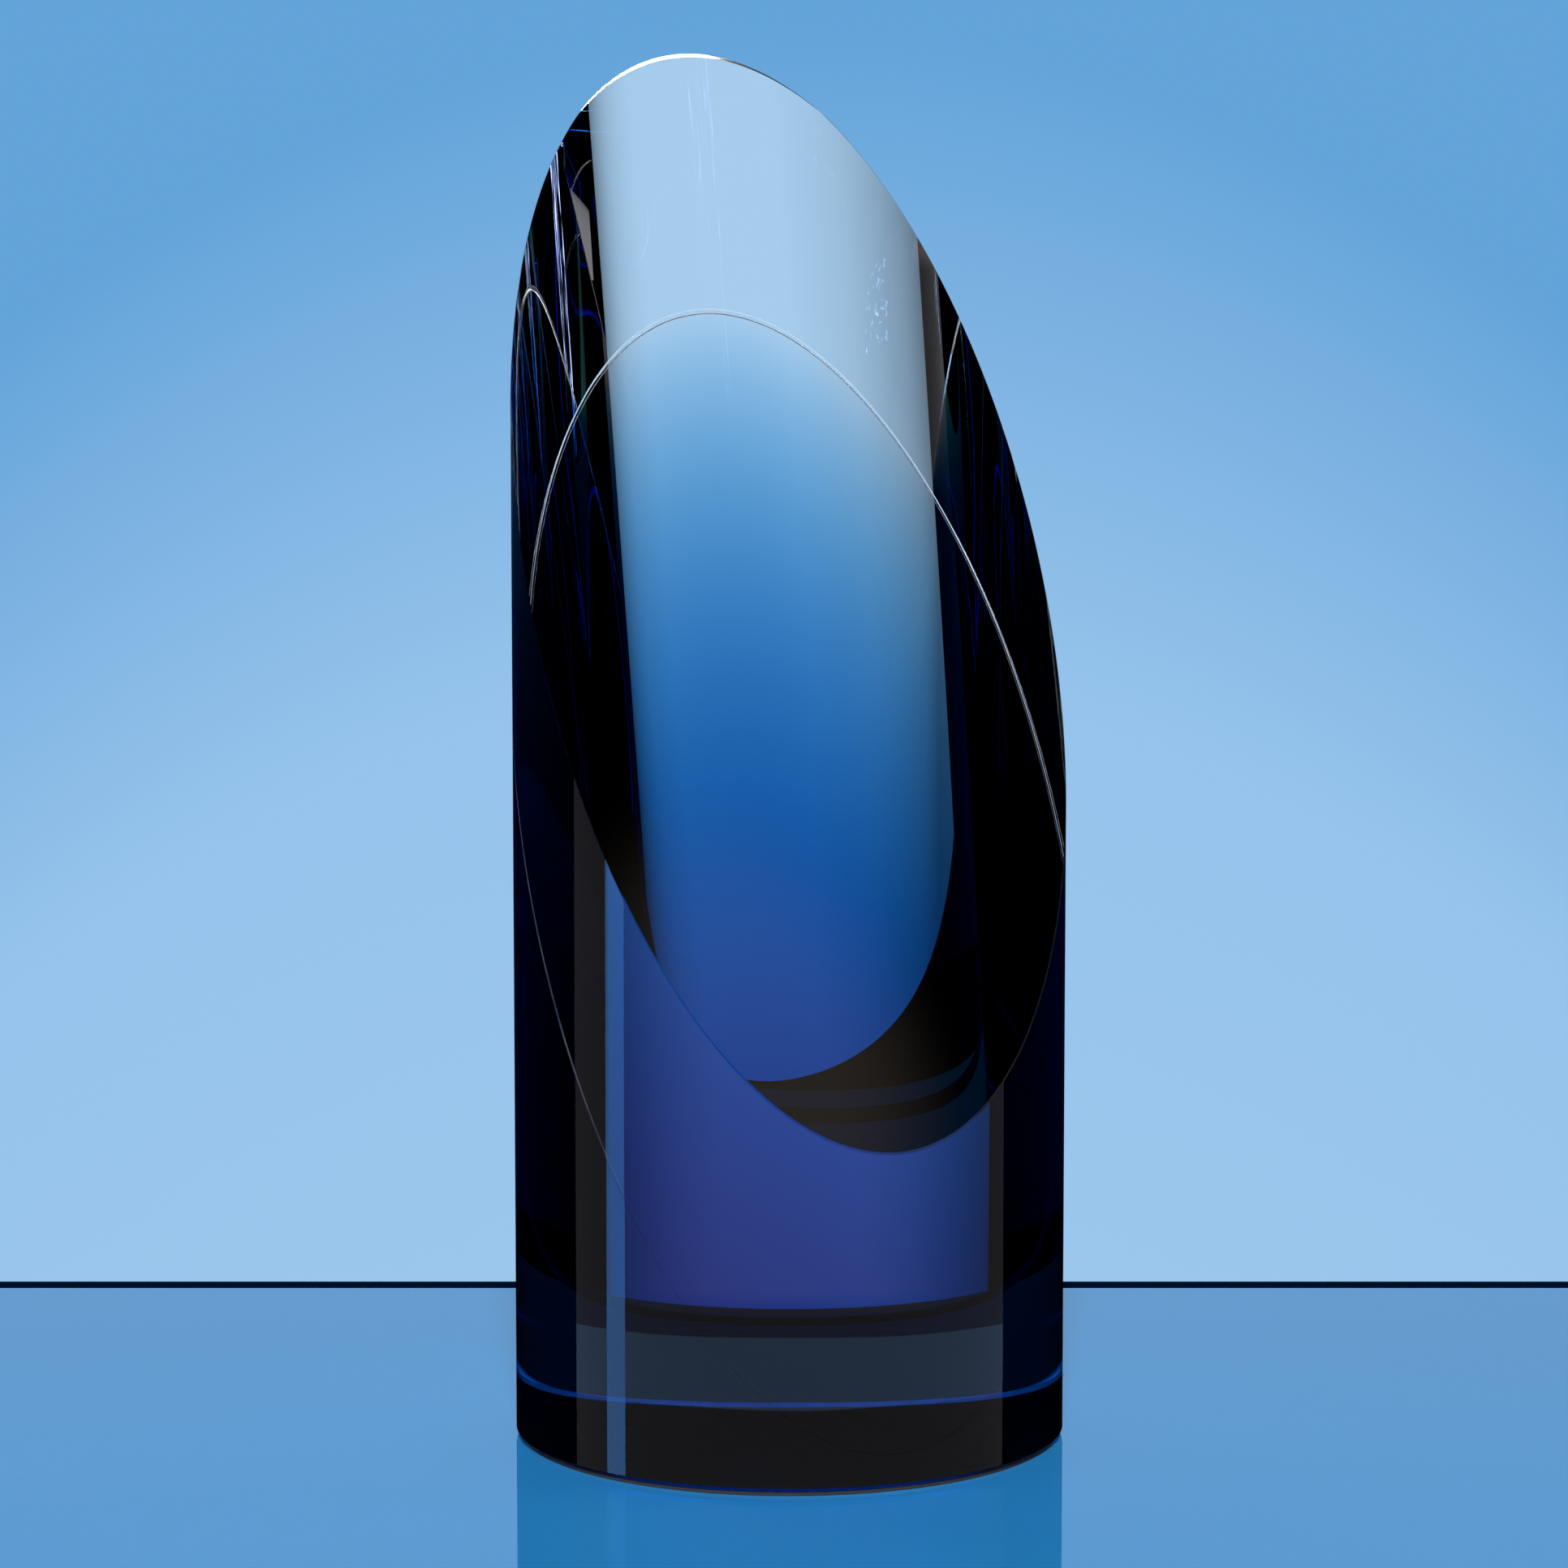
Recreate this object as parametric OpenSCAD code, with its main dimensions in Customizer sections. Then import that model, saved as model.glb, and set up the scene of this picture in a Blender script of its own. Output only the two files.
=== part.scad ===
// Column trophy: a round crystal column whose top is one long polished slope.
// A clear slab is bonded over a sapphire blue column, and a dark pad is glued under the foot.
// The slope falls from the high rim at the back left to the low rim at the front right.

/* [Column] */
// Diameter of the crystal column
column_d = 80; // [76:1:90]
// Height of the crystal, without the pad
crystal_h = 200; // [180:1:205]
// Height at which the slope meets the wall at its lowest point, without the pad
low_rim_h = 47.5; // [47:0.5:60]
// Turn of the slope to the right, seen from the front
slope_turn = 22; // [0:1:45]

/* [Bonded joint] */
// Thickness of the clear slab, square to the slope
slab_t = 19.6; // [12:0.1:19.6]
// Thickness of the clear film that bonds the two crystals
film_t = 0.1; // [0.05:0.05:0.2]
// How far the film stops short of the wall
film_inset = 0.3; // [0.1:0.1:1]

/* [Polished edges] */
// How far the bevel at the tip lowers the sharp top corner
bevel_drop = 1.05; // [0.8:0.05:2.5]
// Tilt of that bevel from level towards the front
bevel_tilt = 30; // [20:1:40]
// Chamfer round the foot of the crystal
foot_chamfer = 0.6; // [0.3:0.1:1.5]

/* [Foot pad] */
// Thickness of the pad
pad_t = 0.6; // [0.4:0.1:3]
// Thickness of the adhesive on top of the pad
glue_t = 0.1; // [0.05:0.05:0.3]
// How far the pad stops short of the wall
pad_inset = 1; // [0.7:0.1:4]

/* [Hidden] */

column_r = column_d / 2;
foot_z = pad_t + glue_t;
// The bevel takes off the sharp corner where the slope's own plane would meet the wall
corner_z = foot_z + crystal_h + bevel_drop;
slope_rise = (crystal_h + bevel_drop - low_rim_h) / column_d;
slope_angle = atan(slope_rise);
slope_mid_z = corner_z - slope_rise * column_r;
// Heights at the axis of the two faces of the bonding film
film_top_z = slope_mid_z - slab_t / cos(slope_angle);
film_low_z = film_top_z - film_t / cos(slope_angle);
// The bevel is ground round a leaning axis, so it dies away on both sides of the tip
bevel_r = 0.98 * column_r;
bevel_depth = bevel_drop * cos(bevel_tilt);
box_side = 3 * (column_d + crystal_h);

// All space above the plane of the slope that crosses the axis at height z
module above_slope(z) {
    translate([0, 0, z])
        rotate([slope_angle, 0, 0])
            translate([-box_side / 2, -box_side / 2, 0])
                cube(box_side);
}

// All space below that plane
module below_slope(z) {
    translate([0, 0, z])
        rotate([slope_angle, 0, 0])
            translate([-box_side / 2, -box_side / 2, -box_side])
                cube(box_side);
}

// The round column with its chamfered foot, taller than the trophy
module round_column() {
    rotate_extrude($fn = 180)
        polygon([
            [0, foot_z],
            [column_r - foot_chamfer, foot_z],
            [column_r, foot_z + foot_chamfer],
            [column_r, corner_z + column_d],
            [0, corner_z + column_d]
        ]);
}

// What the polishing wheel takes off the sharp corner at the tip
module tip_bevel() {
    translate([0, column_r, corner_z])
        rotate([bevel_tilt - 90, 0, 0])
            translate([0, bevel_depth + bevel_r, 0])
                difference() {
                    translate([-column_d, -2 * bevel_r, -column_d])
                        cube([2 * column_d, 1.5 * bevel_r, 2 * column_d]);
                    cylinder(h = 3 * column_d, r = bevel_r, center = true, $fn = 180);
                }
}

// Clear crystal slab that forms the sloping face
module clear_slab() {
    color([0.80, 0.90, 0.98, 0.45])
        rotate([0, 0, slope_turn])
            difference() {
                round_column();
                above_slope(slope_mid_z);
                below_slope(film_top_z);
                tip_bevel();
            }
}

// Clear film that holds the slab to the column
module bond_film() {
    color([0.86, 0.93, 0.98, 0.6])
        rotate([0, 0, slope_turn])
            difference() {
                cylinder(h = corner_z, r = column_r - film_inset, $fn = 180);
                above_slope(film_top_z);
                below_slope(film_low_z);
            }
}

// Sapphire blue crystal that forms the rest of the column and its foot
module blue_column() {
    color([0.10, 0.25, 0.62, 0.8])
        rotate([0, 0, slope_turn])
            difference() {
                round_column();
                above_slope(film_low_z);
            }
}

// Black adhesive that bonds the pad to the crystal without a gap
module pad_adhesive() {
    color([0.03, 0.03, 0.04])
        translate([0, 0, pad_t])
            cylinder(h = glue_t, r = column_r - pad_inset, $fn = 180);
}

// Dark pad that the trophy stands on
module base_pad() {
    color([0.06, 0.06, 0.07])
        cylinder(h = pad_t, r = column_r - pad_inset, $fn = 180);
}

clear_slab();
bond_film();
blue_column();
pad_adhesive();
base_pad();
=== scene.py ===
# %% [markdown]
# # A column trophy of two bonded crystals
# The trophy is a round column of polished crystal, cut off at a steep slope.
# A thick clear slab lies on a deep blue column, and a thin layer of optical adhesive joins
# the two along a plane parallel to the cut. A black pad is glued under the foot.
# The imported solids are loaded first, as a fixed frame, and every piece is built around them.

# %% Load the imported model
import math

import bmesh
import bpy
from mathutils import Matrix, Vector


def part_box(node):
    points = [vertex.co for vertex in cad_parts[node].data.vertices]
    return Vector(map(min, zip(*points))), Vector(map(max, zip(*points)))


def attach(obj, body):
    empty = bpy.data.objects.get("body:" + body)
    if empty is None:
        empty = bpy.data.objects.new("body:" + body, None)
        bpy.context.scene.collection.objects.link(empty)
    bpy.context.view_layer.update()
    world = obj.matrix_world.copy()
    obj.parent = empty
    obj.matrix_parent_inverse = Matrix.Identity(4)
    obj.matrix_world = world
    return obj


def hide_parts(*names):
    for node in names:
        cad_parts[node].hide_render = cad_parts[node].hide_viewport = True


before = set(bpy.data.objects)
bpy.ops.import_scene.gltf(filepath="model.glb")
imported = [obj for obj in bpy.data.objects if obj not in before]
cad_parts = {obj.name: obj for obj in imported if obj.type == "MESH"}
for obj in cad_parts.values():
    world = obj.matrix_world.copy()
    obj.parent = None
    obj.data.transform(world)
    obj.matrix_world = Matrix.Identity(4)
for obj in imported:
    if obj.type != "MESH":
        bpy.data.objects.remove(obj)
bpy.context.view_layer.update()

scene = bpy.context.scene
print("packed pieces:", sorted(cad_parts))

# %% [markdown]
# ## The sizes that drive every piece
# The maker of such a trophy needs few numbers: the diameter, the height, the slope of the cut,
# the thickness of the clear slab, and the small chamfers that keep the edges from chipping.
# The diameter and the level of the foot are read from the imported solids, so that they can't
# drift apart. The slope can't be read from a box, so it is worked out again from the same
# heights as in the solid model.

# %% Sizes of the column
MM = 0.001
column_low, column_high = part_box("blue_column")
slab_low, slab_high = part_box("clear_slab")
glue_low, glue_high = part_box("pad_adhesive")
pad_low, pad_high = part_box("base_pad")

COLUMN_R = (column_high.x - column_low.x) / 2
FOOT_Z = column_low.z
CRYSTAL_H = slab_high.z - FOOT_Z
LOW_RIM_H = 47.5 * MM
SLAB_T = 19.6 * MM
FILM_T = 0.1 * MM
FILM_INSET = 0.3 * MM
FOOT_CHAMFER = 0.6 * MM
PAD_R = (pad_high.x - pad_low.x) / 2
SLOPE_TURN = math.radians(22)

print("column radius", round(COLUMN_R / MM, 2), "mm, crystal height", round(CRYSTAL_H / MM, 2), "mm")

# %% The cut and the bonded plane
BEVEL_DROP = 1.05 * MM
BEVEL_TILT = math.radians(30)
BEVEL_R = 0.98 * COLUMN_R
SLOPE_RISE = (CRYSTAL_H + BEVEL_DROP - LOW_RIM_H) / (2 * COLUMN_R)
SLOPE_ANGLE = math.atan(SLOPE_RISE)
CORNER_Z = FOOT_Z + CRYSTAL_H + BEVEL_DROP
CUT_MID_Z = CORNER_Z - SLOPE_RISE * COLUMN_R
FILM_TOP_Z = CUT_MID_Z - SLAB_T / math.cos(SLOPE_ANGLE)
FILM_LOW_Z = FILM_TOP_Z - FILM_T / math.cos(SLOPE_ANGLE)
UPHILL = Vector((-math.sin(SLOPE_TURN), math.cos(SLOPE_TURN), 0))
JOINT_NORMAL = (Vector((0, 0, 1)) - SLOPE_RISE * UPHILL).normalized()


def sloping(mid_z):
    """The height of a plane parallel to the cut, as a function of x and y."""
    return lambda x, y: mid_z + SLOPE_RISE * (x * UPHILL.x + y * UPHILL.y)


cut_z = sloping(CUT_MID_Z)
print("slope of the cut", round(math.degrees(SLOPE_ANGLE), 2), "degrees")

# %% [markdown]
# ## A block of crystal, ring by ring
# A cut column could be made by cutting a cylinder with a boolean, but that leaves long thin
# faces at the rim, and glass shows every one of them. Instead, each block is built from
# rings of points on the same angles, from the foot to the top: the walls then stay exactly
# upright, and each ring follows its own plane. Both ends are closed by smaller rings and a
# middle point, so that they are clean and flat.

# %% The block builder
SEGMENTS = 1440
END_SHARES = (0.985, 0.93, 0.8, 0.6, 0.35, 0.15)
SHARP_FROM = math.radians(6)
GROOVE_STARTS = -0.55
GROOVE_FADE = 0.5


def angle_of(k):
    return 2 * math.pi * k / SEGMENTS


def uphill_share(angle):
    """1 on the high side of the slope, -1 on the low side."""
    return math.cos(angle - math.pi / 2 - SLOPE_TURN)


def groove_share(angle):
    """1 where the joint's fine groove is open, 0 on the low side, where adhesive fills it."""
    share = min(1, max(0, (uphill_share(angle) - GROOVE_STARTS) / GROOVE_FADE))
    return share * share * (3 - 2 * share)


print("one step round a block is", round(2 * math.pi * COLUMN_R / SEGMENTS / MM, 3), "mm")

# %% [markdown]
# Two values are kept on every face for the materials to read: how rough it is ground, and
# how far adhesive fills it. The sharp edges are marked where two faces meet at more than six
# degrees, so that the shading stays smooth round the wall and crisp at every arris.

# %% One ring of points


def ring_points(radius_at, height_at):
    """One ring: a radius for each angle, and a height for each place."""
    points = []
    for k in range(SEGMENTS):
        angle = angle_of(k)
        radius = radius_at(angle)
        x, y = radius * math.cos(angle), radius * math.sin(angle)
        points.append((x, y, height_at(x, y)))
    return points


# %% Close an end


def add_end(bm, rim, middle_z, upwards):
    """Closes a block's end with smaller rings and a middle point, all on the rim's plane."""
    middle = Vector((0, 0, middle_z))
    rings = [rim]
    for share in END_SHARES:
        rings.append([bm.verts.new(middle.lerp(v.co, share)) for v in rim])
    tip = bm.verts.new(middle)
    for outer, inner in zip(rings, rings[1:]):
        for k in range(SEGMENTS):
            j = (k + 1) % SEGMENTS
            corners = (outer[k], outer[j], inner[j], inner[k])
            bm.faces.new(corners if upwards else corners[::-1])
    last = rings[-1]
    for k in range(SEGMENTS):
        j = (k + 1) % SEGMENTS
        bm.faces.new((last[k], last[j], tip) if upwards else (tip, last[j], last[k]))


# %% Build a whole block


def build_block(name, rings, low_z, high_z, ground_bands=None, joint_band=None):
    """A closed block from rings of points, lowest first. ground_bands says how rough a band
    between two rings is ground, where 0 is the lowest band. joint_band is the one that lies
    at the joint, and adhesive fills it on the low side."""
    bm = bmesh.new()
    ground = bm.faces.layers.float.new("ground")
    filled = bm.faces.layers.float.new("filled")
    levels = [[bm.verts.new(p) for p in points] for points in rings]
    for band, (low, high) in enumerate(zip(levels, levels[1:])):
        for k in range(SEGMENTS):
            j = (k + 1) % SEGMENTS
            face = bm.faces.new((low[k], low[j], high[j], high[k]))
            face[ground] = (ground_bands or {}).get(band, 0.0)
            if band == joint_band:
                face[filled] = 1 - groove_share(angle_of(k))
    add_end(bm, levels[0], low_z, upwards=False)
    add_end(bm, levels[-1], high_z, upwards=True)
    bm.normal_update()
    for face in bm.faces:
        face.smooth = True
    for edge in bm.edges:
        edge.smooth = edge.calc_face_angle(0) < SHARP_FROM
    mesh = bpy.data.meshes.new(name)
    bm.to_mesh(mesh)
    bm.free()
    block = bpy.data.objects.new(name, mesh)
    scene.collection.objects.link(block)
    heights = [v.co.z / MM for v in mesh.vertices]
    print(name, "-", len(mesh.polygons), "faces")
    print("    from", round(min(heights), 2), "to", round(max(heights), 2), "mm above the table")
    return block


# %% [markdown]
# ## The bevel at the tip
# The tip of the slope would be a knife edge of 27 degrees, so the maker grinds a narrow bevel
# round the top of the back rim. It is a crescent: widest at the very top, and fading out on
# both sides. The grinding surface is part of a leaning cylinder, as in the solid model.
# The rest of the rim only gets a hairline arris, which is what makes the edge catch light.

# %% Where the bevel meets the wall and the cut
BEVEL_DEPTH = BEVEL_DROP * math.cos(BEVEL_TILT)
RIM_ARRIS = 0.12 * MM
SEARCH_FROM = 0.8 * COLUMN_R
SEARCH_STEPS = 40
bevel_up = Vector((0, -math.sin(BEVEL_TILT), math.cos(BEVEL_TILT)))
bevel_axis_at = Vector((0, COLUMN_R, CORNER_Z)) - (BEVEL_DEPTH + BEVEL_R) * bevel_up


def bevel_z(x, y):
    """The height of the leaning cylinder's top above a place on the column."""
    across = x * math.cos(SLOPE_TURN) + y * math.sin(SLOPE_TURN)
    along = x * UPHILL.x + y * UPHILL.y
    if abs(across) >= BEVEL_R or along < 0:
        return CORNER_Z + 1
    rise = math.sqrt(BEVEL_R**2 - across**2) + math.sin(BEVEL_TILT) * (along - bevel_axis_at.y)
    return bevel_axis_at.z + rise / math.cos(BEVEL_TILT)


def cut_radius(angle):
    """How far out the flat of the cut reaches: to the bevel, or to the hairline arris.
    The bevel's edge has no short formula, so it is closed in on by halving."""
    outer = COLUMN_R
    inner = SEARCH_FROM
    direction = (math.cos(angle), math.sin(angle))
    spot = (outer * direction[0], outer * direction[1])
    if bevel_z(*spot) < cut_z(*spot):
        for _ in range(SEARCH_STEPS):
            middle = (outer + inner) / 2
            spot = (middle * direction[0], middle * direction[1])
            if bevel_z(*spot) < cut_z(*spot):
                outer = middle
            else:
                inner = middle
    return min(outer, COLUMN_R - RIM_ARRIS)


def wall_top(x, y):
    """The height of the wall's upper edge: under the bevel, or under the hairline arris."""
    arris_drop = RIM_ARRIS * (2 + uphill_share(math.atan2(y, x)))
    return min(bevel_z(x, y), cut_z(x, y) - arris_drop)


tip_angle = math.pi / 2 + SLOPE_TURN
print("bevel at the tip is", round((COLUMN_R - cut_radius(tip_angle)) / MM, 2), "mm deep")

# %% [markdown]
# ## The clear slab
# The upper block is water-clear crystal with a slab's even thickness. Its walls are upright
# like the column's, its top is the polished cut, and its underside is the bonded face.
# A tiny arris runs round the bonded face, because two ground edges never meet exactly,
# and that fine groove is what shows as a bright line inside the trophy. On the low side of
# the slope the squeezed-out adhesive fills the groove, so that the line fades away there.

# %% The groove at the joint
JOINT_ARRIS = 0.03 * MM
JOINT_ARRIS_FRONT = 0.015 * MM
CLEARANCE = 0.01 * MM


def joint_arris(angle):
    """The arris is widest on the high side, and next to nothing on the low side."""
    return JOINT_ARRIS_FRONT + (JOINT_ARRIS - JOINT_ARRIS_FRONT) * groove_share(angle)


def full_radius(angle):
    return COLUMN_R


def arris_radius(angle):
    return COLUMN_R - joint_arris(angle)


def slab_low_radius(angle):
    """The slab's underside stops at the arris, or at the film where adhesive fills the groove."""
    open_share = groove_share(angle)
    return COLUMN_R - open_share * joint_arris(angle) - (1 - open_share) * (FILM_INSET - CLEARANCE)


def above_joint(x, y):
    """The lowest edge of the slab's wall: above an open groove, or down over a filled one."""
    angle = math.atan2(y, x)
    open_share = groove_share(angle)
    arris = joint_arris(angle) * (2 - uphill_share(angle))
    lap = FILM_LOW_Z - FILM_TOP_Z + CLEARANCE
    return sloping(FILM_TOP_Z + CLEARANCE)(x, y) + open_share * arris + (1 - open_share) * lap


print("the groove's arris is", round(joint_arris(tip_angle) / MM, 3), "mm at the high side")

# %% Build the clear slab
FROSTED = 0.6
SATIN = 0.15

clear_block = build_block(
    "clear_crystal_slab",
    [
        ring_points(slab_low_radius, sloping(FILM_TOP_Z + CLEARANCE)),
        ring_points(full_radius, above_joint),
        ring_points(full_radius, wall_top),
        ring_points(cut_radius, cut_z),
    ],
    FILM_TOP_Z + CLEARANCE,
    CUT_MID_Z,
    ground_bands={0: FROSTED, 2: SATIN},
    joint_band=0,
)

# %% [markdown]
# ## The blue column
# The lower block is the same crystal, coloured through with cobalt. It stands on a flat foot
# with a small chamfer all round, and its top is the other bonded face. The clearances of a
# hundredth of a millimetre keep its faces from lying exactly on its neighbours', where a
# renderer could no longer tell which comes first.

# %% Build the blue column


def below_joint(x, y):
    """The highest edge of the column's wall: an arris below the bonded face."""
    angle = math.atan2(y, x)
    drop = joint_arris(angle) * (2 + uphill_share(angle))
    return sloping(FILM_LOW_Z - CLEARANCE)(x, y) - drop


blue_block = build_block(
    "blue_crystal_column",
    [
        ring_points(lambda angle: COLUMN_R - FOOT_CHAMFER, lambda x, y: FOOT_Z + CLEARANCE),
        ring_points(full_radius, lambda x, y: FOOT_Z + FOOT_CHAMFER),
        ring_points(full_radius, below_joint),
        ring_points(arris_radius, sloping(FILM_LOW_Z - CLEARANCE)),
    ],
    FOOT_Z + CLEARANCE,
    FILM_LOW_Z - CLEARANCE,
    ground_bands={0: FROSTED, 2: FROSTED},
    joint_band=2,
)

# %% [markdown]
# ## The bond between the crystals
# The adhesive is a tenth of a millimetre thick and stops just short of the wall, where the
# surplus was wiped away. It is as clear as the crystal, so only its edge can be seen.

# %% Build the adhesive film
FILM_R = COLUMN_R - FILM_INSET
bond_layer = build_block(
    "optical_bond",
    [
        ring_points(lambda angle: FILM_R, sloping(FILM_LOW_Z)),
        ring_points(lambda angle: FILM_R, sloping(FILM_TOP_Z)),
    ],
    FILM_LOW_Z,
    FILM_TOP_Z,
)

# %% [markdown]
# ## The foot pad
# Under the foot lies a thin disc of black rubber, so that the crystal can't scratch a shelf.
# It is punched from sheet, so its edge is slightly rounded rather than sharp. The black
# adhesive above it is seen from inside the crystal, and it makes the foot look dark.
# Both are discs, so the block builder makes them from level rings. A quarter turn of sine
# and cosine rounds the edge at the foot, and another one rounds it at the top.

# %% Build the pad and its adhesive
PAD_ROUND = 0.15 * MM
GLUE_R = PAD_R - 0.1 * MM
GLUE_ROUND = 0.03 * MM


def flat_ring(radius, height):
    return ring_points(lambda angle: radius, lambda x, y: height)


def rounded_edge(radius, low, high, rounding, steps=4):
    """Rings for a disc's edge that is rounded at the foot and at the top."""
    turns = [math.pi / 2 * step / steps for step in range(steps + 1)]
    rings = []
    for turn in turns:
        inset, rise = rounding * (1 - math.sin(turn)), rounding * (1 - math.cos(turn))
        rings.append(flat_ring(radius - inset, low + rise))
    for turn in turns:
        inset, drop = rounding * (1 - math.cos(turn)), rounding * (1 - math.sin(turn))
        rings.append(flat_ring(radius - inset, high - drop))
    return rings


foot_pad = build_block(
    "rubber_foot_pad",
    rounded_edge(PAD_R, pad_low.z, pad_high.z, PAD_ROUND),
    pad_low.z,
    pad_high.z,
)
pad_glue = build_block(
    "black_pad_adhesive",
    rounded_edge(GLUE_R, glue_low.z + CLEARANCE, glue_high.z, GLUE_ROUND, steps=2),
    glue_low.z + CLEARANCE,
    glue_high.z,
)

# %% [markdown]
# ## Nodes in few words
# Every material is built from nodes, and most of the work is adding a node and joining two
# sockets. A small class keeps that short. `math` and `dot` work out a number, `ramp` lets a
# number run from one value to another between two limits, and `places` gives x, y and z.

# %% A small class for node materials


class Nodes:
    """A material's nodes, with short ways to add and join them."""

    def __init__(self, name):
        self.material = bpy.data.materials.new(name)
        self.material.use_nodes = True
        self.tree = self.material.node_tree
        self.tree.nodes.clear()
        self.output = self.add("ShaderNodeOutputMaterial")

    def add(self, kind, **settings):
        node = self.tree.nodes.new(kind)
        for key, value in settings.items():
            setattr(node, key, value)
        return node

    def join(self, source, target):
        self.tree.links.new(source, target)

    def finish(self, surface):
        self.join(surface, self.output.inputs["Surface"])
        return self.material

    def math(self, operation, first, second):
        node = self.add("ShaderNodeMath", operation=operation)
        for socket, value in zip(node.inputs, (first, second)):
            if isinstance(value, (int, float)):
                socket.default_value = value
            else:
                self.join(value, socket)
        return node.outputs[0]

    def dot(self, vector, constant):
        node = self.add("ShaderNodeVectorMath", operation="DOT_PRODUCT")
        self.join(vector, node.inputs[0])
        node.inputs[1].default_value = constant
        return node.outputs["Value"]

    def length(self, vector):
        node = self.add("ShaderNodeVectorMath", operation="LENGTH")
        self.join(vector, node.inputs[0])
        return node.outputs["Value"]

    def ramp(self, value, start, end, low=0.0, high=1.0, kind="SMOOTHSTEP"):
        node = self.add("ShaderNodeMapRange", interpolation_type=kind)
        node.inputs["From Min"].default_value = start
        node.inputs["From Max"].default_value = end
        node.inputs["To Min"].default_value = low
        node.inputs["To Max"].default_value = high
        self.join(value, node.inputs["Value"])
        return node.outputs[0]

    def blend_shaders(self, share, first, second):
        node = self.add("ShaderNodeMixShader")
        self.join(share, node.inputs[0])
        self.join(first, node.inputs[1])
        self.join(second, node.inputs[2])
        return node.outputs[0]

    def blend_colours(self, share, first, second):
        node = self.add("ShaderNodeMix", data_type="RGBA")
        self.join(share, node.inputs["Factor"])
        node.inputs["A"].default_value = (*first, 1)
        node.inputs["B"].default_value = (*second, 1)
        return node.outputs["Result"]

    def places(self):
        coordinates = self.add("ShaderNodeTexCoord")
        split = self.add("ShaderNodeSeparateXYZ")
        self.join(coordinates.outputs["Object"], split.inputs[0])
        return split.outputs


# %% [markdown]
# ## How crystal looks
# Polished lead-free crystal bends light with an index of about 1.52. Its colour is in its
# depth, not on its surface: a short path through the blue stays pale, and a long one turns
# deep blue. So the surface is a clear dielectric, and a volume takes up the light on the way.
# Where two blocks are bonded there is no air between them and light passes straight on,
# so the same material turns plainly transparent on those faces only, and where adhesive
# fills the groove. The ground arrises are rough, and the polish has a faint long waviness.

# %% The crystal material
CRYSTAL_IOR = 1.52
POLISH_WAVE_SCALE = 22.0
POLISH_WAVE_HEIGHT = 0.00002


def add_polish(n, glass):
    """The polishing felt leaves a faint waviness, far too low to see except in reflections."""
    coordinates = n.add("ShaderNodeTexCoord")
    wave = n.add("ShaderNodeTexNoise")
    wave.inputs["Scale"].default_value = POLISH_WAVE_SCALE
    wave.inputs["Detail"].default_value = 1.0
    n.join(coordinates.outputs["Object"], wave.inputs["Vector"])
    bump = n.add("ShaderNodeBump")
    bump.inputs["Strength"].default_value = 1.0
    bump.inputs["Distance"].default_value = POLISH_WAVE_HEIGHT
    n.join(wave.outputs["Fac"], bump.inputs["Height"])
    n.join(bump.outputs["Normal"], glass.inputs["Normal"])


def crystal(name, bonded, depth_colour=None, depth_density=0.0):
    """bonded is a function that gets the nodes and the geometry, and returns the mask of the
    faces that are bonded to a neighbour."""
    n = Nodes(name)
    geometry = n.add("ShaderNodeNewGeometry")
    glass = n.add("ShaderNodeBsdfPrincipled")
    glass.inputs["Transmission Weight"].default_value = 1.0
    glass.inputs["IOR"].default_value = CRYSTAL_IOR
    glass.inputs["Base Color"].default_value = (1, 1, 1, 1)
    ground = n.add("ShaderNodeAttribute", attribute_name="ground")
    n.join(ground.outputs["Fac"], glass.inputs["Roughness"])
    add_polish(n, glass)
    passing = n.add("ShaderNodeBsdfTransparent")
    filled = n.add("ShaderNodeAttribute", attribute_name="filled")
    unseen = n.math("MAXIMUM", bonded(n, geometry), filled.outputs["Fac"])
    if depth_colour:
        volume = n.add("ShaderNodeVolumeAbsorption")
        volume.inputs["Color"].default_value = (*depth_colour, 1)
        volume.inputs["Density"].default_value = depth_density
        n.join(volume.outputs[0], n.output.inputs["Volume"])
    return n.finish(n.blend_shaders(unseen, glass.outputs[0], passing.outputs[0]))


# %% [markdown]
# A bonded face is found from its direction and its place: it faces along the joint's normal,
# and it lies near the joint's plane. The foot of the blue block is bonded as well, but only
# as far out as the black adhesive goes.

# %% Masks for the bonded faces
SAME_WAY = 0.9995
NEAR_JOINT = 1 * MM


def on_joint(n, geometry):
    facing = n.math("ABSOLUTE", n.dot(geometry.outputs["True Normal"], JOINT_NORMAL), 0)
    aligned = n.math("GREATER_THAN", facing, SAME_WAY)
    along_joint = (-SLOPE_RISE * UPHILL.x, -SLOPE_RISE * UPHILL.y, 1)
    height = n.dot(geometry.outputs["Position"], along_joint)
    near = n.math("LESS_THAN", height, FILM_TOP_Z + NEAR_JOINT)
    return n.math("MULTIPLY", aligned, near)


def on_joint_or_foot(n, geometry):
    downwards = n.dot(geometry.outputs["True Normal"], (0, 0, 1))
    flat = n.math("GREATER_THAN", n.math("ABSOLUTE", downwards, 0), SAME_WAY)
    across = n.add("ShaderNodeVectorMath", operation="MULTIPLY")
    n.join(geometry.outputs["Position"], across.inputs[0])
    across.inputs[1].default_value = (1, 1, 0)
    covered = n.math("LESS_THAN", n.length(across.outputs[0]), GLUE_R)
    foot = n.math("MULTIPLY", flat, covered)
    return n.math("MAXIMUM", foot, on_joint(n, geometry))


# %% [markdown]
# The depth of colour is given as how strongly one column radius of blue holds back red, green
# and blue light. The strongest of the three sets the density of the volume, and the others
# set its tint.

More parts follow.
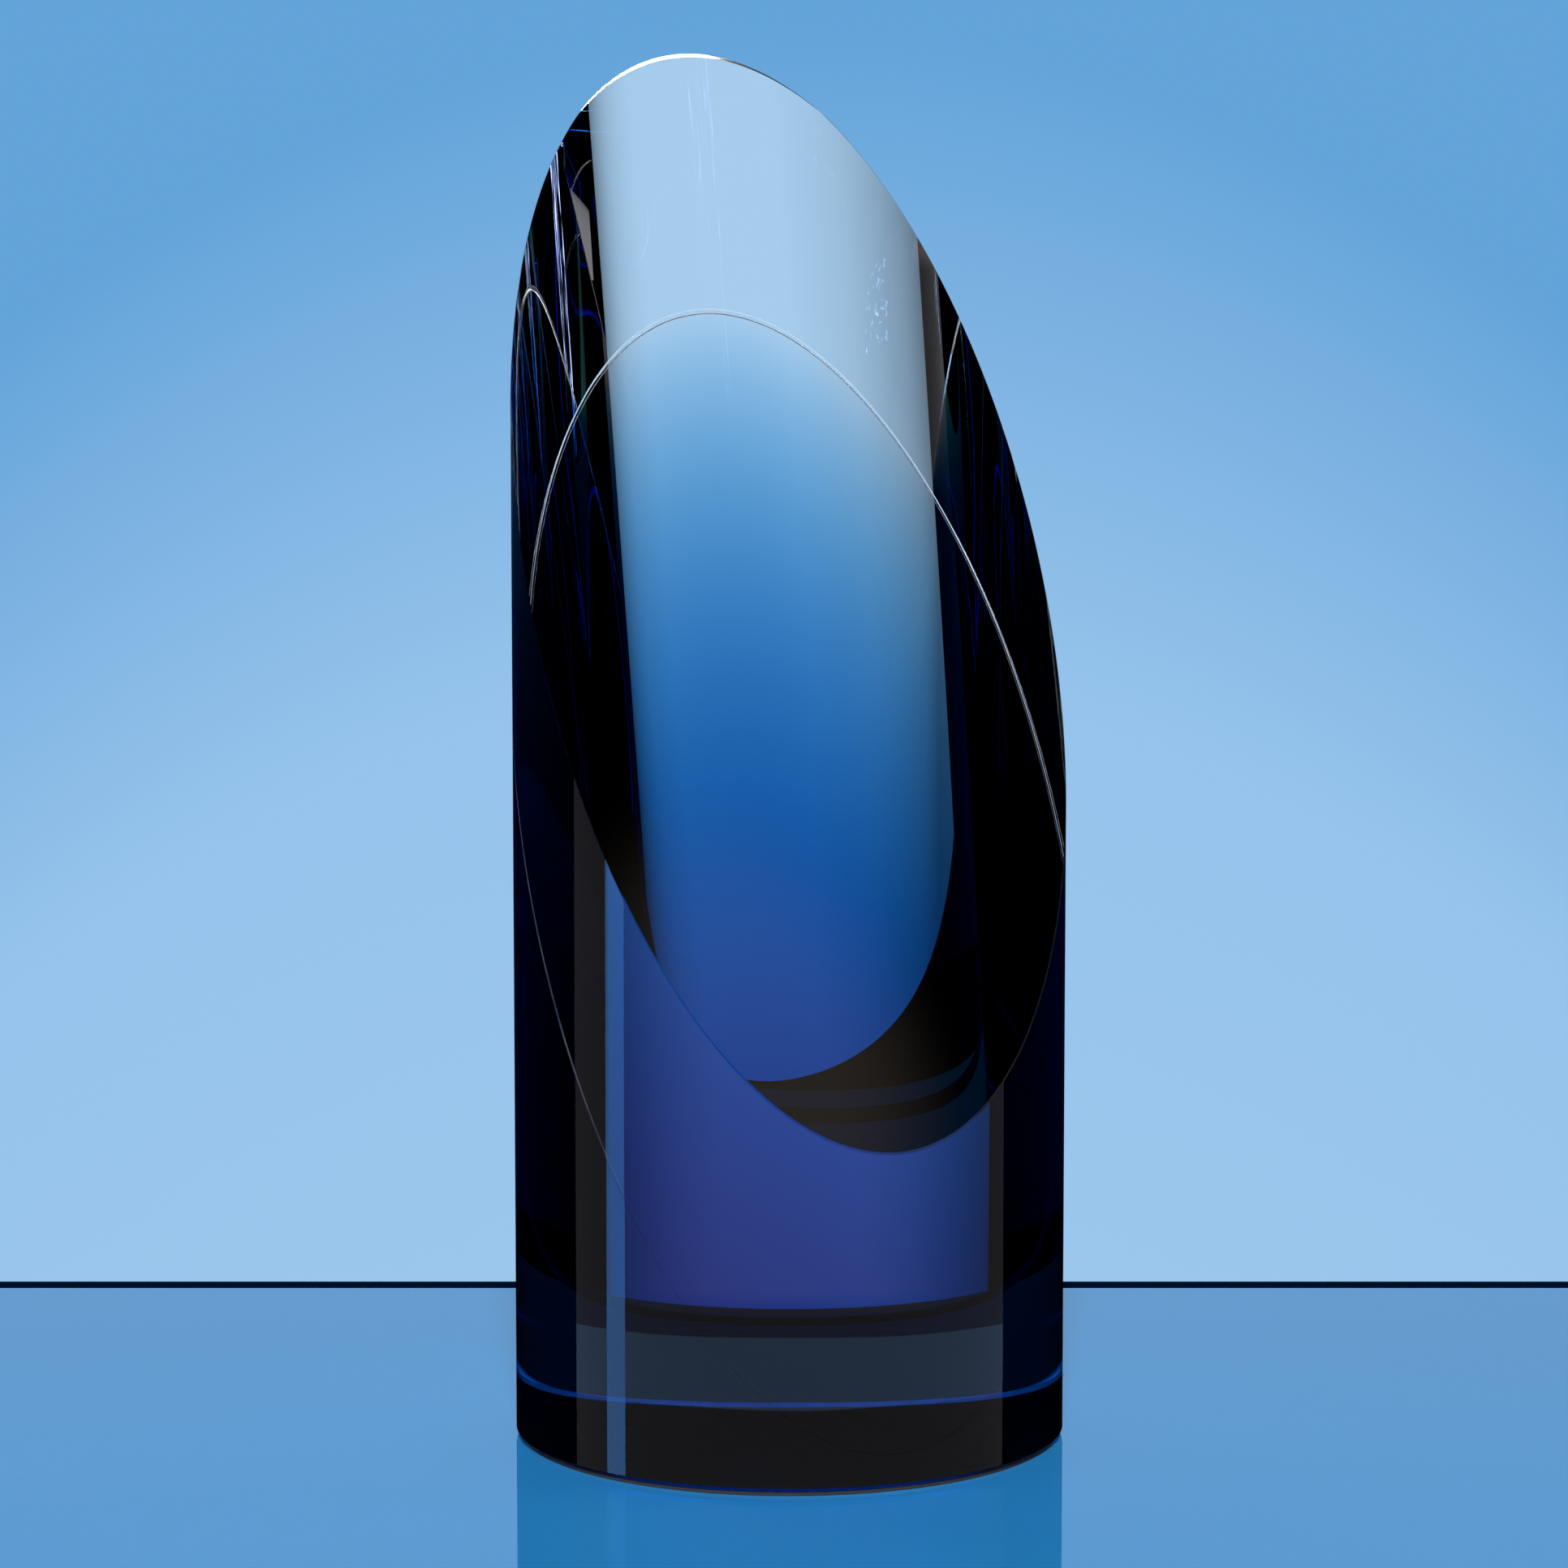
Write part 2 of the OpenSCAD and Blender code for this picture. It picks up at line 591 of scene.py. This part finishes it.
# %% The two crystals
BLUE_DEPTH = (3.9, 1.85, 0.82)
strongest = max(BLUE_DEPTH)
blue_tint = [1 - share / strongest for share in BLUE_DEPTH]

clear_crystal = crystal("clear_crystal_glass", on_joint)
blue_crystal = crystal("cobalt_crystal_glass", on_joint_or_foot, blue_tint, strongest / COLUMN_R)
clear_block.data.materials.append(clear_crystal)
blue_block.data.materials.append(blue_crystal)
print("light left after one radius of blue:", [round(math.exp(-share), 3) for share in BLUE_DEPTH])

# %% [markdown]
# ## The adhesive between the crystals
# Cured optical adhesive is invisible across the joint, so its flats are transparent. Its rim
# scatters light, because the wiped edge is not polished: that is a pale, translucent line.
# On the low side the rim lies inside the filled groove, and it fades out too.

# %% The bond material
RIM_WHITE = (0.95, 0.96, 0.97, 1)
RIM_ROUGHNESS = 0.4
RIM_CLARITY = 0.1
RIM_FADES_AT = -0.1 * COLUMN_R
RIM_GONE_AT = -0.6 * COLUMN_R


def bond_material():
    n = Nodes("clear_bond")
    geometry = n.add("ShaderNodeNewGeometry")
    passing = n.add("ShaderNodeBsdfTransparent")
    edge = n.add("ShaderNodeBsdfPrincipled")
    edge.inputs["Base Color"].default_value = RIM_WHITE
    edge.inputs["Roughness"].default_value = RIM_ROUGHNESS
    edge.inputs["Transmission Weight"].default_value = RIM_CLARITY
    facing = n.math("ABSOLUTE", n.dot(geometry.outputs["True Normal"], JOINT_NORMAL), 0)
    flat = n.math("GREATER_THAN", facing, SAME_WAY)
    uphill = n.dot(geometry.outputs["Position"], UPHILL)
    filled = n.ramp(uphill, RIM_FADES_AT, RIM_GONE_AT, kind="LINEAR")
    unseen = n.math("MAXIMUM", flat, filled)
    return n.finish(n.blend_shaders(unseen, edge.outputs[0], passing.outputs[0]))


bond_layer.data.materials.append(bond_material())
print("the film's rim fades from", round(RIM_FADES_AT / MM), "to", round(RIM_GONE_AT / MM), "mm")

# %% [markdown]
# ## Black rubber and black adhesive
# The pad is matt black rubber with the fine pimpled grain of cast sheet. The adhesive is
# spread with a comb, so its noise is stretched into soft streaks. It wets the crystal, and
# so it has no shine of its own.

# %% A dark material with grain


def dark_material(name, low, high, roughness, scale, height, stretch=(1, 1, 1), specular=0.5):
    n = Nodes(name)
    coordinates = n.add("ShaderNodeTexCoord")
    mapping = n.add("ShaderNodeMapping")
    mapping.inputs["Scale"].default_value = stretch
    n.join(coordinates.outputs["Object"], mapping.inputs["Vector"])
    grain = n.add("ShaderNodeTexNoise")
    grain.inputs["Scale"].default_value = scale
    grain.inputs["Detail"].default_value = 4.0
    n.join(mapping.outputs[0], grain.inputs["Vector"])
    shade = n.add("ShaderNodeValToRGB")
    shade.color_ramp.elements[0].color = (*low, 1)
    shade.color_ramp.elements[1].color = (*high, 1)
    n.join(grain.outputs["Fac"], shade.inputs[0])
    surface = n.add("ShaderNodeBsdfPrincipled")
    surface.inputs["Roughness"].default_value = roughness
    surface.inputs["Specular IOR Level"].default_value = specular
    n.join(shade.outputs[0], surface.inputs["Base Color"])
    bump = n.add("ShaderNodeBump")
    bump.inputs["Distance"].default_value = height
    n.join(grain.outputs["Fac"], bump.inputs["Height"])
    n.join(bump.outputs["Normal"], surface.inputs["Normal"])
    return n.finish(surface.outputs[0])


# %% Rubber and glue
rubber = dark_material(
    "black_rubber",
    low=(0.012, 0.012, 0.013),
    high=(0.03, 0.03, 0.032),
    roughness=0.7,
    scale=2500,
    height=0.00008,
)
black_glue = dark_material(
    "black_glue",
    low=(0.004, 0.004, 0.004),
    high=(0.012, 0.011, 0.012),
    roughness=0.5,
    scale=60,
    height=0.00001,
    stretch=(1, 8, 1),
    specular=0.0,
)
foot_pad.data.materials.append(rubber)
pad_glue.data.materials.append(black_glue)
print("dark materials:", rubber.name, "and", black_glue.name)

# %% [markdown]
# ## Tie the pieces to the part
# Nothing on the trophy moves, so every piece rides on the one body. Each piece stands for
# its solid, whose imported copy is hidden, and the material slot listed for that solid is printed
# beside it.

# %% Ride and replace
standing_for = [
    (clear_block, "clear_slab", "clear_crystal"),
    (bond_layer, "bond_film", "bonding_film"),
    (blue_block, "blue_column", "blue_crystal"),
    (pad_glue, "pad_adhesive", "black_adhesive"),
    (foot_pad, "base_pad", "pad"),
]
for piece, node, slot in standing_for:
    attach(piece, "root")
    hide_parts(node)
    print(piece.name, "stands for", node, "with the finish of", slot)

# %% [markdown]
# ## The camera
# A long lens, a little above the trophy's middle and tilted down, keeps the walls upright and
# parallel. The small sideways shift places the column slightly right of the middle.

# %% Place the camera
CAMERA_AWAY = 0.7852
CAMERA_UP = 0.1904
CAMERA_TILT = math.radians(6.89)

camera_data = bpy.data.cameras.new("camera")
camera = bpy.data.objects.new("camera", camera_data)
scene.collection.objects.link(camera)
camera.location = (0, -CAMERA_AWAY, CAMERA_UP)
camera.rotation_euler = (math.pi / 2 - CAMERA_TILT, 0, 0)
camera_data.sensor_width = 36
camera_data.lens = 125.5
camera_data.shift_x = -0.0035
camera_data.clip_start = 0.01
scene.camera = camera
bpy.context.view_layer.update()
print("camera", round(camera.location.length, 3), "m from the trophy's foot")

# %% [markdown]
# ## Tools for the set
# Crystal has hardly any look of its own: it shows its surroundings, bent and mirrored. So the
# set around it is as much work as the trophy, and it is built from a few kinds of things:
# glowing panels, area lamps, and a table. The panels and lamps are fixed to the camera, like a
# turntable set where the object turns and the lights stay. The panels don't show in the
# picture and cast no shadow, so that they are never in the way of another light.

# %% Meshes, and what sees them


def mesh_object(name, corners, faces):
    mesh = bpy.data.meshes.new(name)
    mesh.from_pydata(corners, [], faces)
    thing = bpy.data.objects.new(name, mesh)
    scene.collection.objects.link(thing)
    return thing


def hide_from(thing, *kinds):
    """Rays of these kinds pass the thing as if it weren't there."""
    for kind in kinds:
        setattr(thing, "visible_" + kind, False)


def follow_camera(thing):
    thing.parent = camera
    thing.matrix_parent_inverse = camera.matrix_world.inverted()


def fix_to_camera(panel, material):
    panel.data.materials.append(material)
    follow_camera(panel)
    hide_from(panel, "camera", "shadow")


# %% Glowing materials


def glow(name, colour, strength=1.0):
    n = Nodes(name)
    shine = n.add("ShaderNodeEmission")
    shine.inputs["Color"].default_value = (*colour, 1)
    shine.inputs["Strength"].default_value = strength
    return n, shine


def plain_glow(name, colour, strength=1.0):
    n, shine = glow(name, colour, strength)
    return n.finish(shine.outputs[0])


# %% Lamps and light linking


def area_lamp(name, width, depth, energy, location, aim):
    data = bpy.data.lights.new(name, "AREA")
    data.shape = "RECTANGLE"
    data.size = width
    data.size_y = depth
    data.energy = energy
    lamp = bpy.data.objects.new(name, data)
    scene.collection.objects.link(lamp)
    lamp.location = location
    lamp.rotation_euler = (Vector(aim) - lamp.location).to_track_quat("-Z", "Y").to_euler()
    follow_camera(lamp)
    print(name, "gives", energy, "W from", [round(v, 2) for v in location], "m")
    return lamp


def only_lights(light, name, things):
    """Light linking: the light reaches these things and nothing else."""
    receivers = bpy.data.collections.new(name)
    for thing in things:
        receivers.objects.link(thing)
    light.light_linking.receiver_collection = receivers


# %% [markdown]
# Panels are either flat or bent round the column's axis. A direction is an angle from
# straight behind the trophy, positive to the right, and heights are measured from the table.

# %% Flat and curved panels


def flat_panel(name, away, left, right, low, high):
    """An upright flat panel behind the trophy, between two directions from its axis."""
    x_left, x_right = away * math.tan(left), away * math.tan(right)
    corners = [(x_left, away, low), (x_right, away, low)]
    corners += [(x_right, away, high), (x_left, away, high)]
    return mesh_object(name, corners, [(0, 1, 2, 3)])


def curved_panel(name, radius, from_deg, to_deg, low, high, steps=24):
    """An upright panel round the column's axis, between two directions."""
    corners = []
    for i in range(steps + 1):
        turn = math.radians(from_deg + (to_deg - from_deg) * i / steps)
        for z in (low, high):
            corners.append((radius * math.sin(turn), radius * math.cos(turn), z))
    faces = [(2 * i, 2 * i + 2, 2 * i + 3, 2 * i + 1) for i in range(steps)]
    return mesh_object(name, corners, faces)


# %% [markdown]
# ## The table
# The trophy stands near the back edge of a pale blue, glossy table top, with a dark strip
# along that edge. The edge matters: light from behind passes over it and through the crystal.
# Seen through the crystal, or mirrored in it, a pale table would fill the dark walls with
# light, so the table is hidden from those rays.

# %% Build the table top and its dark edge
TABLE_BACK = 0.0985
TABLE_T = 0.02
TABLE_REACH = 0.9
EDGE_STRIP = 0.0052
TABLE_BLUE = (0.02, 0.21, 0.48, 1)
EDGE_DARK = (0.0006, 0.006, 0.025, 1)
BOX_FACES = [(0, 2, 6, 4), (1, 5, 7, 3), (0, 4, 5, 1), (2, 3, 7, 6), (0, 1, 3, 2), (4, 6, 7, 5)]


def painted_board(name, back, front, paint_name, colour, roughness, specular):
    """A board of the table's width and thickness, from its front to its back edge."""
    corners = []
    for x in (-TABLE_REACH, TABLE_REACH):
        for y in (front, back):
            for z in (-TABLE_T, 0):
                corners.append((x, y, z))
    board = mesh_object(name, corners, BOX_FACES)
    n = Nodes(paint_name)
    paint = n.add("ShaderNodeBsdfPrincipled")
    paint.inputs["Base Color"].default_value = colour
    paint.inputs["Roughness"].default_value = roughness
    paint.inputs["Specular IOR Level"].default_value = specular
    board.data.materials.append(n.finish(paint.outputs[0]))
    print(name, "reaches", round(back / MM, 1), "mm behind the column's axis")
    return board


table = painted_board("table_top", TABLE_BACK, -TABLE_REACH, "table_blue", TABLE_BLUE, 0.03, 0.3)
hide_from(table, "glossy", "transmission")
strip_back = TABLE_BACK + EDGE_STRIP
edge_strip = painted_board("table_edge", strip_back, TABLE_BACK, "edge_dark", EDGE_DARK, 0.6, 0.0)
hide_from(edge_strip, "glossy")

# %% [markdown]
# Rays that leave the crystal downwards need something to land on instead. A round glowing mat that
# only they can see lies under the trophy. Its nearly black glow is painted shade, standing in for the
# table lying in the column's shade, and a bright painted ring of light close to the foot draws the
# thin line of light round the foot of the crystal.

# %% The painted shade mat that only the crystal shows
PAINTED_SHADE_MAT_R = 0.111
MAT_SINKS = 0.1 * MM
MAT_POINT_EVERY = 8
# painted shade: the mat's dim glow stands in for the table lying in the column's shade
PAINTED_SHADE_COLOUR = (0.01, 0.05, 0.045)
# painted light: a bright glowing ring stands in for the line of light round the foot
PAINTED_FOOT_LIGHT = (1.5, 2.4, 3.0)
FOOT_LIGHT_OUTSIDE = COLUMN_R + 4 * MM
FOOT_LIGHT_INSIDE = COLUMN_R + 1 * MM

mat_rim = []
for k in range(0, SEGMENTS, MAT_POINT_EVERY):
    mat_x, mat_y = PAINTED_SHADE_MAT_R * math.cos(angle_of(k)), PAINTED_SHADE_MAT_R * math.sin(angle_of(k))
    mat_rim.append((mat_x, mat_y, -MAT_SINKS))
painted_shade_mat = mesh_object("painted_shade_mat", mat_rim, [list(range(len(mat_rim)))])
hide_from(painted_shade_mat, "camera", "diffuse", "glossy", "shadow", "volume_scatter")

# The mat glows: emission paints the shade and, near the foot, a ring of light
n = Nodes("painted_shade_and_foot_light_glow")
shade = n.add("ShaderNodeEmission")
place = n.add("ShaderNodeTexCoord")
foot_light_share = n.ramp(n.length(place.outputs["Object"]), FOOT_LIGHT_OUTSIDE, FOOT_LIGHT_INSIDE)
n.join(n.blend_colours(foot_light_share, PAINTED_SHADE_COLOUR, PAINTED_FOOT_LIGHT), shade.inputs["Color"])
painted_shade_mat.data.materials.append(n.finish(shade.outputs[0]))
print("dark mat,", round(PAINTED_SHADE_MAT_R / MM), "mm in radius, with", len(mat_rim), "points")

# %% [markdown]
# A lamp high above the camera lights the table. The crystal is spared its mirror image.

# %% The table's lamp
table_lamp = area_lamp("table_light", 0.3, 0.3, 80, (0, -1.9, 1.0), (0, 0, 0))
hide_from(table_lamp, "glossy", "transmission")

# %% [markdown]
# ## The screen behind
# Crystal is lit from behind: a large pale screen fills what is seen through the middle of the
# column, and everything beside it stays black, which draws the dark walls. The screen is
# brightest in the middle and falls off to both sides, faster near its lower edge, so that
# the light zone inside the column fades softly instead of ending flat.
# Mirrored rays don't see the screen, or it would draw a hard bright rim on both walls.

# %% The screen's sizes and its falloff
SCREEN_BLUE = (0.42, 0.66, 0.92)
SCREEN_AWAY = 1.0
SCREEN_LEFT = math.radians(-33.3)
SCREEN_RIGHT = math.radians(28.2)
SCREEN_LOW = -0.425
SCREEN_HIGH = 0.5
FALLOFF_END_DEG = 40
FALLOFF_STOPS = (
    (9, 1.0),
    (13, 0.91),
    (16.5, 0.83),
    (20, 0.7),
    (23.5, 0.58),
    (27, 0.48),
    (30.5, 0.36),
    (34, 0.25),
)
STEEPER_FROM = -0.3
STEEPER_TO = -0.42
STEEPER_BY = 1.3
print("the screen falls off over", len(FALLOFF_STOPS), "stops to", FALLOFF_STOPS[-1][0], "degrees")

# %% Build the screen
screen = flat_panel("back_screen", SCREEN_AWAY, SCREEN_LEFT, SCREEN_RIGHT, SCREEN_LOW, SCREEN_HIGH)
n, shine = glow("screen_glow", SCREEN_BLUE)
x, y, z = n.places()
sideways = n.math("ABSOLUTE", n.math("ARCTAN2", x, y), 0)
whole_turn = 1 / math.radians(FALLOFF_END_DEG)
steeper = n.ramp(z, STEEPER_FROM, STEEPER_TO, whole_turn, STEEPER_BY * whole_turn, kind="LINEAR")
falloff = n.add("ShaderNodeValToRGB")
n.join(n.math("MULTIPLY", sideways, steeper), falloff.inputs[0])
points = falloff.color_ramp.elements
for spot, (degrees, share) in enumerate(FALLOFF_STOPS):
    point = points[spot] if spot < len(points) else points.new(degrees / FALLOFF_END_DEG)
    point.position = degrees / FALLOFF_END_DEG
    point.color = (share, share, share, 1)
n.join(falloff.outputs[0], shine.inputs["Strength"])
fix_to_camera(screen, n.finish(shine.outputs[0]))
hide_from(screen, "glossy")
print("screen", round(screen.dimensions.x, 2), "m wide and", round(screen.dimensions.z, 2), "m high")

# %% [markdown]
# The table's gloss still has to mirror something pale. It gets a larger screen of its own,
# further away, and light linking keeps its light on the table.

# %% The screen that only the table mirrors
WIDE = math.radians(60)
table_screen = flat_panel("table_screen", 2.6, -WIDE, WIDE, -1.5, 4.5)
fix_to_camera(table_screen, plain_glow("table_screen_glow", SCREEN_BLUE))
hide_from(table_screen, "transmission")
only_lights(table_screen, "table_only", [table])
print("table screen", round(table_screen.dimensions.x, 2), "m wide")

# %% [markdown]
# ## The dim room in front
# A polished wall mirrors the room behind the camera as a faint grey veil, even where the
# crystal is black. A half round of very dim grey stands for that room. From 27 cm below the
# table upwards its middle is warmer, which brings some red back into the deep blue: real
# cobalt glass lets a little red through. A cool band lies just inside it and a little lower,
# and light that crosses the crystal doesn't see it.

# %% The dim front
ROOM_FROM, ROOM_TO = 81, 279
ROOM_STEPS = 64
ROOM_GREY = (0.19, 0.19, 0.205)
ROOM_WARM = (0.62, 0.5, 0.5)
WARM_ENDS = math.radians(85)
WARM_FULL = math.radians(25)
WARM_FLOOR = -0.276
WARM_ABOVE = -0.264
BAND_BLUE = (0.36, 0.55, 0.85)
BAND_LOW, BAND_HIGH = -0.3095, -0.281

front = curved_panel("dim_front", 1.4, ROOM_FROM, ROOM_TO, -0.9, 0.7, steps=ROOM_STEPS)
n, shine = glow("front_glow", ROOM_GREY)
x, y, z = n.places()
aside = n.math("ABSOLUTE", n.math("ARCTAN2", x, n.math("MULTIPLY", y, -1)), 0)
warm = n.ramp(aside, WARM_ENDS, WARM_FULL)
lift = n.ramp(z, WARM_FLOOR, WARM_ABOVE)
n.join(n.blend_colours(n.math("MULTIPLY", warm, lift), ROOM_GREY, ROOM_WARM), shine.inputs["Color"])
fix_to_camera(front, n.finish(shine.outputs[0]))

cool_band = curved_panel("cool_band", 1.39, ROOM_FROM, ROOM_TO, BAND_LOW, BAND_HIGH, steps=ROOM_STEPS)
fix_to_camera(cool_band, plain_glow("band_glow", BAND_BLUE))
hide_from(cool_band, "transmission")
print("cool band", round((BAND_HIGH - BAND_LOW) / MM, 1), "mm high")

# %% [markdown]
# ## The strip at the left
# A narrow, strongly blue strip light stands at the left. The upright wall mirrors it as one
# bright vertical line, which tells the eye that the wall is round and polished.

# %% The strip light
STRIP_BLUE = (0.17, 0.42, 1.0)
STRIP_STRENGTH = 3.2
left_strip = curved_panel("left_strip", 0.75, -109.5, -100, -0.35, 0.5, steps=8)
fix_to_camera(left_strip, plain_glow("strip_glow", STRIP_BLUE, STRIP_STRENGTH))
print("strip light", round(left_strip.dimensions.z, 2), "m tall")

# %% [markdown]
# ## Streaks in the dark walls
# Inside the dark zones fine streaks of blue run down the crystal: small lights that it has
# bent and mirrored several times. Thin glowing slats make them. A noise that is read round
# the axis and along the height is cut off high, so that only its crests glow. Only rays
# that cross the crystal see the slats.

# %% The slats
SLAT_BLUE = (0.35, 0.48, 0.95)
SLAT_DENSITY = 22.0
SLAT_BREAKS = 12.0
SLAT_WANDER = 1.2
SLAT_DARK_BELOW = 0.57
SLAT_FULL_ABOVE = 0.74


def streaked_panel(name, radius, from_deg, to_deg, low, high, strength):
    panel = curved_panel(name, radius, from_deg, to_deg, low, high)
    n, shine = glow(name + "_glow", SLAT_BLUE)
    x, y, z = n.places()
    spread = n.add("ShaderNodeCombineXYZ")
    n.join(n.math("MULTIPLY", n.math("ARCTAN2", x, y), SLAT_DENSITY), spread.inputs["X"])
    n.join(n.math("MULTIPLY", z, SLAT_BREAKS), spread.inputs["Y"])
    slats = n.add("ShaderNodeTexNoise")
    slats.inputs["Scale"].default_value = 1.0
    slats.inputs["Detail"].default_value = 2.0
    slats.inputs["Distortion"].default_value = SLAT_WANDER
    n.join(spread.outputs[0], slats.inputs["Vector"])
    crests = n.ramp(slats.outputs["Fac"], SLAT_DARK_BELOW, SLAT_FULL_ABOVE, high=strength)
    n.join(crests, shine.inputs["Strength"])
    fix_to_camera(panel, n.finish(shine.outputs[0]))
    hide_from(panel, "diffuse", "glossy", "volume_scatter")
    print(name, "glows up to", strength)


streaked_panel("low_slats_right", 0.45, 118, 145, -0.9, -0.2, 14.0)
streaked_panel("high_slats_left", 0.3, 185, 250, 0.72, 1.3, 7.0)
streaked_panel("low_slats_left", 0.45, 215, 242, -0.9, -0.2, 14.0)

# %% [markdown]
# ## The soft reflector
# The cut is a mirror as well as a window. A small soft reflector stands where the lower part
# of the cut mirrors it towards the camera, and gives a faint warm sheen there. Its place is
# worked out: look from the camera to a spot on the cut, bounce off the plane, and go on.

# %% Place the reflector by the law of reflection
GLINT_AWAY = 0.6
GLINT_ASIDE = 18 * MM
GLINT_HALF = 0.1

glint_spot = -1.0 * COLUMN_R * UPHILL
glint_spot.x -= GLINT_ASIDE
glint_spot.z = cut_z(glint_spot.x, glint_spot.y)
looking = (glint_spot - camera.location).normalized()
bounced = looking - 2 * looking.dot(JOINT_NORMAL) * JOINT_NORMAL
glint_at = glint_spot + GLINT_AWAY * bounced
print("the cut mirrors what stands at", [round(v, 3) for v in glint_at], "m")

square = [(-GLINT_HALF, -GLINT_HALF, 0), (GLINT_HALF, -GLINT_HALF, 0)]
square += [(GLINT_HALF, GLINT_HALF, 0), (-GLINT_HALF, GLINT_HALF, 0)]
glint = mesh_object("soft_reflector", square, [(0, 1, 2, 3)])
glint.location = glint_at
glint.rotation_euler = (-bounced).to_track_quat("Z", "Y").to_euler()

# %% [markdown]
# It is brightest in its middle and fades to nothing in an oval, like a diffuser with a
# lamp close behind it.

# %% The reflector's oval glow
GLINT_WARM = (1.0, 0.85, 0.7)
OVAL_HALF_WIDTH = 0.048
OVAL_HALF_HEIGHT = 0.078
OVAL_FULL_AT = 0.25
OVAL_STRENGTH = 0.45

n, shine = glow("reflector_glow", GLINT_WARM)
place = n.add("ShaderNodeTexCoord")
stretched = n.add("ShaderNodeMapping")
stretched.inputs["Scale"].default_value = (1 / OVAL_HALF_WIDTH, 1 / OVAL_HALF_HEIGHT, 1)
n.join(place.outputs["Object"], stretched.inputs["Vector"])
fade = n.ramp(n.length(stretched.outputs[0]), 1.0, OVAL_FULL_AT, high=OVAL_STRENGTH)
n.join(fade, shine.inputs["Strength"])
bpy.context.view_layer.update()
fix_to_camera(glint, n.finish(shine.outputs[0]))
hide_from(glint, "diffuse", "transmission", "volume_scatter")
print("the sheen is", round(2 * OVAL_HALF_WIDTH / MM), "by", round(2 * OVAL_HALF_HEIGHT / MM), "mm")

# %% [markdown]
# ## The box light above
# A wide box light hangs above and behind. The ground arrises catch it, so that the rims and
# the joint's groove show as fine white lines. It is linked to the crystals and the bond.

# %% The top box
top = area_lamp("top_box", 1.1, 0.35, 45, (0, 0.45, 0.95), (0, 0.04, 0.2))
only_lights(top, "lit_by_top_box", [clear_block, blue_block, bond_layer])

# %% [markdown]
# ## The background
# Behind everything is a plain pale blue, a little darker towards the top and the sides. It is
# only for the eye: rays that are bent or reflected by the crystal get no light from it,
# because there the studio set decides what is bright and what is black.

# %% Build the background
SKY_LOW = math.radians(-12)
SKY_HIGH = math.radians(1)
SKY_SIDES = 12.0
SKY_PALE = (0.335, 0.57, 0.845, 1)
SKY_MIDDLE = (0.305, 0.548, 0.835, 1)
SKY_DEEP = (0.125, 0.368, 0.695, 1)

world = bpy.data.worlds.new("pale_blue")
scene.world = world
world.use_nodes = True
tree = world.node_tree
tree.nodes.clear()
out = tree.nodes.new("ShaderNodeOutputWorld")
sky = tree.nodes.new("ShaderNodeBackground")
tree.links.new(sky.outputs[0], out.inputs[0])
place = tree.nodes.new("ShaderNodeTexCoord")
split = tree.nodes.new("ShaderNodeSeparateXYZ")
tree.links.new(place.outputs["Generated"], split.inputs[0])
level = tree.nodes.new("ShaderNodeMapRange")
level.inputs["From Min"].default_value = math.sin(SKY_LOW)
level.inputs["From Max"].default_value = math.sin(SKY_HIGH)
tree.links.new(split.outputs["Z"], level.inputs["Value"])

print("the background turns darker from", round(math.degrees(SKY_LOW)), "degrees upwards")

# %% Shade the background upwards and sideways
squared = tree.nodes.new("ShaderNodeMath")
squared.operation = "MULTIPLY"
tree.links.new(split.outputs["X"], squared.inputs[0])
tree.links.new(split.outputs["X"], squared.inputs[1])
rounder = tree.nodes.new("ShaderNodeMath")
rounder.operation = "MULTIPLY_ADD"
rounder.inputs[1].default_value = SKY_SIDES
tree.links.new(squared.outputs[0], rounder.inputs[0])
tree.links.new(level.outputs[0], rounder.inputs[2])
shade = tree.nodes.new("ShaderNodeValToRGB")
shade.color_ramp.elements[0].color = SKY_PALE
shade.color_ramp.elements[1].color = SKY_DEEP
shade.color_ramp.elements.new(0.48).color = SKY_MIDDLE
tree.links.new(rounder.outputs[0], shade.inputs[0])
tree.links.new(shade.outputs[0], sky.inputs["Color"])
path = tree.nodes.new("ShaderNodeLightPath")
tree.links.new(path.outputs["Is Camera Ray"], sky.inputs["Strength"])
print("background of", len(shade.color_ramp.elements), "blues")

# %% [markdown]
# ## Render settings that belong to glass
# Light may cross many faces before it leaves a crystal, so the number of bounces is high.
# The standard view transform keeps the blue as saturated as it is.

# %% Bounces and view
scene.cycles.max_bounces = 32
scene.cycles.transmission_bounces = 32
scene.cycles.glossy_bounces = 16
scene.cycles.transparent_max_bounces = 32
scene.view_settings.view_transform = "Standard"
print("light may bounce", scene.cycles.max_bounces, "times")
